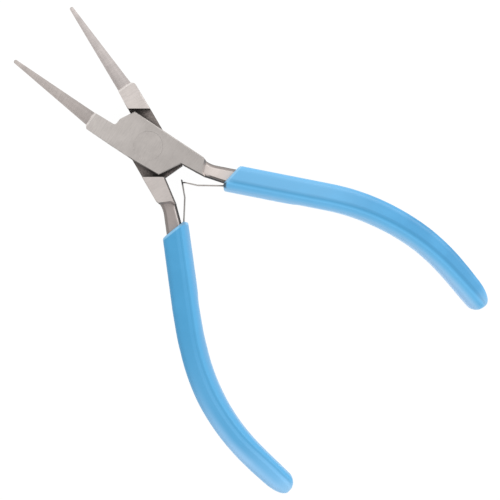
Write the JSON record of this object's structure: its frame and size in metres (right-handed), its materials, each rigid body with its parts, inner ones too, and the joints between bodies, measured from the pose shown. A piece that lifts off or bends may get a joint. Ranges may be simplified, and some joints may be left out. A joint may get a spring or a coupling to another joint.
{
  "type": "round nose pliers",
  "caption": "Jewellery pliers with round tapered jaws, a riveted lap joint, crossing leaf springs that hold them open, and dipped sleeve grips on curved handles.",
  "frame": {"origin": "centre of the joint rivet, on the mid-plane of the lap joint", "axes": "+Y from the joint to the jaw tips along the closing line, +X to the right of the front face, +Z out of the front face; the pliers stand open as their springs leave them"},
  "size_m": [0.072, 0.1203, 0.0078],
  "materials": {
    "ground_steel": "satin, ground",
    "rivet_steel": "ground flush",
    "spring_steel": "rolled strip",
    "grip_vinyl": "dipped, semi-gloss"
  },
  "bodies": {
    "rear_lever": {"rear_half": "ground_steel", "joint_rivet": "rivet_steel", "rear_spring_tail": "spring_steel", "rear_spring_rivet": "rivet_steel", "rear_grip": "grip_vinyl"},
    "front_lever": {"front_half": "ground_steel", "front_spring_tail": "spring_steel", "front_spring_rivet": "rivet_steel", "front_grip": "grip_vinyl"},
    "front_leaf": {"front_spring_blade": "spring_steel"},
    "rear_leaf": {"rear_spring_blade": "spring_steel"}
  },
  "joints": [
    {"name": "jaw_pivot", "type": "hinge", "parent": "rear_lever", "child": "front_lever", "pos_m": [0, 0, 0], "axis": [0, 0, -1], "range_deg": [-3, 26.7], "stiffness_Nm_per_rad": 0.3},
    {"name": "front_leaf_flex", "type": "hinge", "parent": "front_lever", "child": "front_leaf", "pos_m": [0.00756, -0.02014, 0], "axis": [0, 0, -1], "range_deg": [-2, 15]},
    {"name": "rear_leaf_flex", "type": "hinge", "parent": "rear_lever", "child": "rear_leaf", "pos_m": [-0.00756, -0.02014, 0], "axis": [0, 0, 1], "range_deg": [-2, 15]}
  ],
  "couplings": [
    {"joint": "front_leaf_flex", "follows": "jaw_pivot", "ratio": 0.5458},
    {"joint": "rear_leaf_flex", "follows": "jaw_pivot", "ratio": 0.5458}
  ]
}
